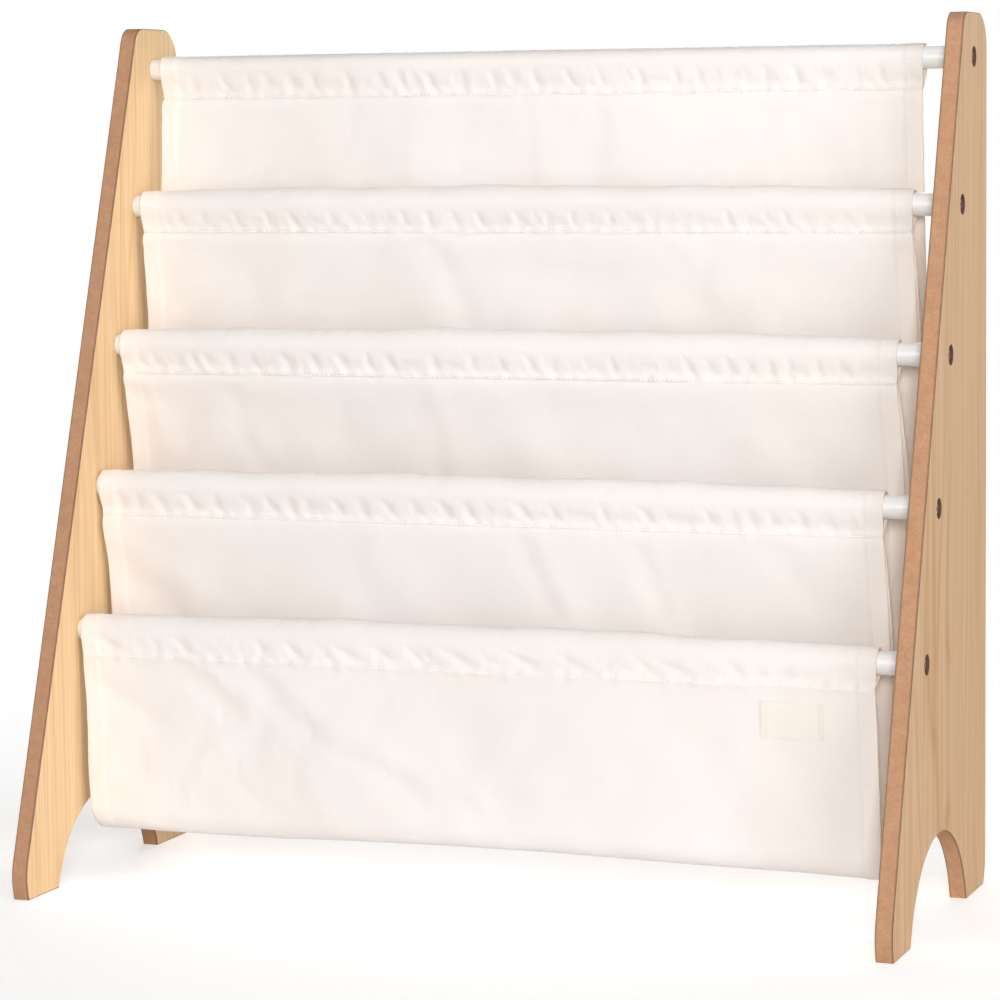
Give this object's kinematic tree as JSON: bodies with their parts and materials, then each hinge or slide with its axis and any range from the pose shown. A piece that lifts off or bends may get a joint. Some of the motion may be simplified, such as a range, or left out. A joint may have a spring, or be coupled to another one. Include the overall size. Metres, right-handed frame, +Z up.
{
  "type": "sling bookshelf",
  "caption": "Child-height bookshelf with arched wooden side panels, round metal tubes and a hanging cloth sling that forms stepped, front-facing book pockets.",
  "frame": {"origin": "on the floor, under the middle of the frame's bounding box", "axes": "+X to the right of someone facing the shelf, along the tubes; +Y towards the back; +Z up"},
  "size_m": [0.631, 0.268, 0.61],
  "materials": {
    "board": "maple-look foil on the faces, raw brown fibreboard on the edges, satin",
    "tube": "white powder coat, satin gloss",
    "plug": "moulded, dark",
    "bolt": "zinc-plated, dull bright",
    "cloth": "fine plain-weave off-white polyester canvas",
    "label": "cream woven tape, bare"
  },
  "bodies": {
    "root": {"side_panel_left": "board", "side_panel_right": "board", "tube_1": "tube", "tube_2": "tube", "tube_3": "tube", "tube_4": "tube", "tube_5": "tube", "threaded_plug_left_1": "plug", "threaded_plug_left_2": "plug", "threaded_plug_left_3": "plug", "threaded_plug_left_4": "plug", "threaded_plug_left_5": "plug", "threaded_plug_right_1": "plug", "threaded_plug_right_2": "plug", "threaded_plug_right_3": "plug", "threaded_plug_right_4": "plug", "threaded_plug_right_5": "plug", "bolt_left_1": "bolt", "bolt_left_2": "bolt", "bolt_left_3": "bolt", "bolt_left_4": "bolt", "bolt_left_5": "bolt", "bolt_right_1": "bolt", "bolt_right_2": "bolt", "bolt_right_3": "bolt", "bolt_right_4": "bolt", "bolt_right_5": "bolt", "sling_sleeve_1": "cloth", "sling_sleeve_2": "cloth", "sling_sleeve_3": "cloth", "sling_sleeve_4": "cloth", "sling_sleeve_5": "cloth", "sling_pocket_1": "cloth", "sling_pocket_2": "cloth", "sling_pocket_3": "cloth", "sling_pocket_4": "cloth", "label_patch": "label"}
  },
  "joints": []
}
